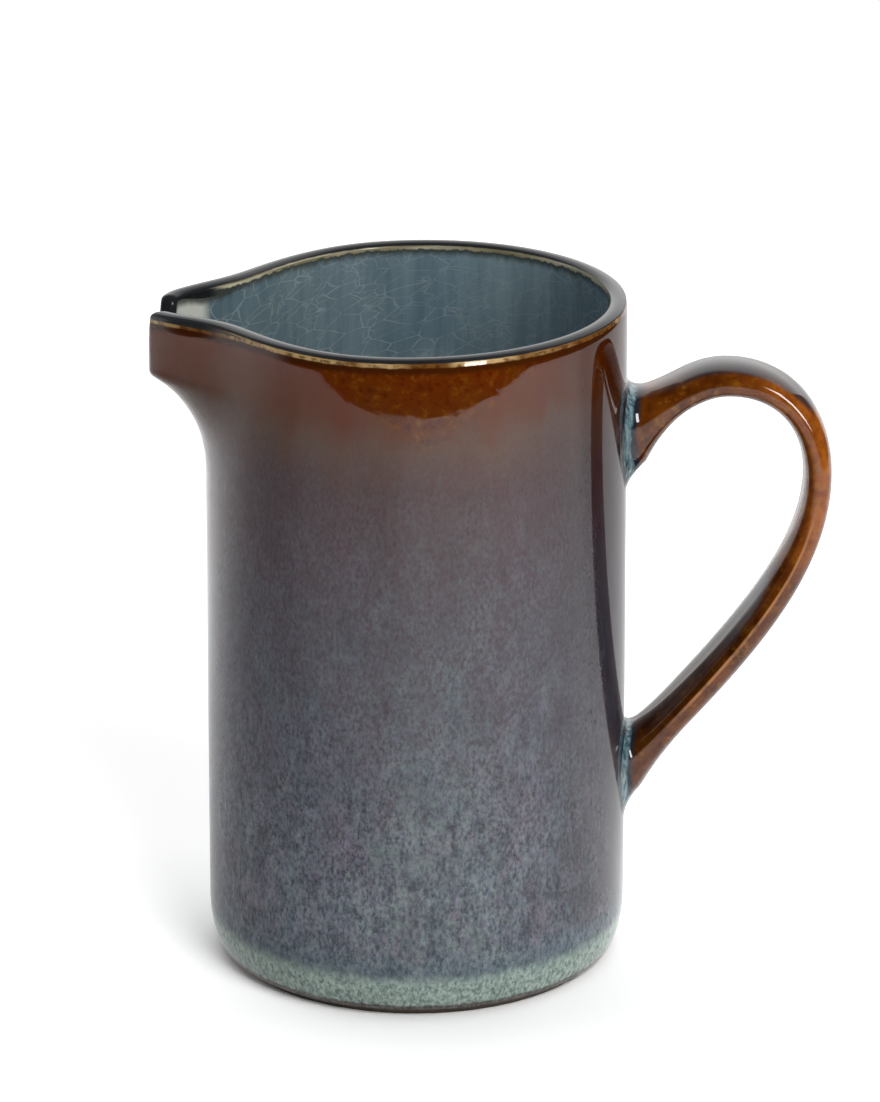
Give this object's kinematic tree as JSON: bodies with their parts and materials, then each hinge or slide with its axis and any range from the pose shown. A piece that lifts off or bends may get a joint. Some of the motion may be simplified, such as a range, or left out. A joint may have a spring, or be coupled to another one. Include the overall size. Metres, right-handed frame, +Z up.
{
  "type": "milk jug",
  "caption": "Glazed stoneware milk jug: a near-straight cylinder with a pinched, notched pouring spout, a looped handle luted to the wall and a crackled lining.",
  "frame": {"origin": "on the table, under the middle of the jug's overall footprint from spout tip to handle", "axes": "+Z up out of the mouth, +X towards the handle, -X towards the spout, +Y across"},
  "size_m": [0.1624, 0.1014, 0.165],
  "materials": {
    "stoneware": "matte",
    "pooled_glaze": "gloss",
    "outer_glaze": "gloss",
    "lining_glaze": "gloss",
    "amber_glaze": "gloss"
  },
  "bodies": {
    "root": {"stoneware_body": "stoneware", "handle": "stoneware", "upper_slip_joint": "pooled_glaze", "lower_slip_joint": "pooled_glaze", "outer_glaze": "outer_glaze", "lining_glaze": "lining_glaze", "handle_glaze": "amber_glaze"}
  },
  "joints": []
}
